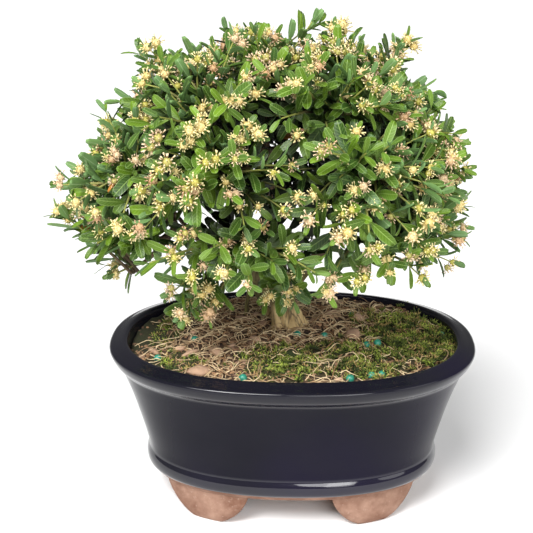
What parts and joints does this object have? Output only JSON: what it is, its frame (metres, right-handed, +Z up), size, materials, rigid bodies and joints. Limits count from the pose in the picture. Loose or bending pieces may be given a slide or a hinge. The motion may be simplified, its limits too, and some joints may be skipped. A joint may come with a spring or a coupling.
{
  "type": "boxwood bonsai",
  "caption": "Rounded flowering boxwood bonsai on a short fluted trunk, growing in soil in an oval glazed pot that stands on moulded clay feet.",
  "frame": {"origin": "on the ground, under the middle of the whole plant's box; the pot's own centre lies 10.7 mm along +X and 0.7 mm along +Y from it", "axes": "+Z up; +X along the pot's long side, to the right as seen from the front; -Y towards the front"},
  "size_m": [0.2214, 0.1782, 0.2646],
  "materials": {
    "glazed_clay": "gloss",
    "soil": "matte",
    "screen_plastic": "matte",
    "feed": "satin",
    "bark": "matte",
    "foliage": "satin"
  },
  "bodies": {
    "root": {"drain_screen_left": "screen_plastic", "drain_screen_right": "screen_plastic", "pellet_01": "feed", "pellet_02": "feed", "pellet_03": "feed", "pellet_04": "feed", "pellet_05": "feed", "pellet_06": "feed", "pellet_07": "feed", "pellet_08": "feed", "pellet_09": "feed", "pellet_10": "feed", "pellet_11": "feed", "pellet_12": "feed", "pellet_13": "feed", "pot": "glazed_clay", "soil": "soil", "spray_drooping_left": "foliage", "spray_low_front": "foliage", "spray_low_front_left": "foliage", "spray_shoulder_1": "foliage", "spray_shoulder_2": "foliage", "spray_shoulder_3": "foliage", "spray_shoulder_4": "foliage", "spray_shoulder_5": "foliage", "spray_shoulder_6": "foliage", "spray_shoulder_7": "foliage", "spray_skirt_1": "foliage", "spray_skirt_2": "foliage", "spray_skirt_3": "foliage", "spray_skirt_4": "foliage", "spray_skirt_5": "foliage", "spray_skirt_6": "foliage", "spray_top": "foliage", "spray_upper_1": "foliage", "spray_upper_2": "foliage", "spray_upper_3": "foliage", "spray_upper_4": "foliage", "spray_upper_5": "foliage", "trunk_and_branches": "bark"}
  },
  "joints": []
}
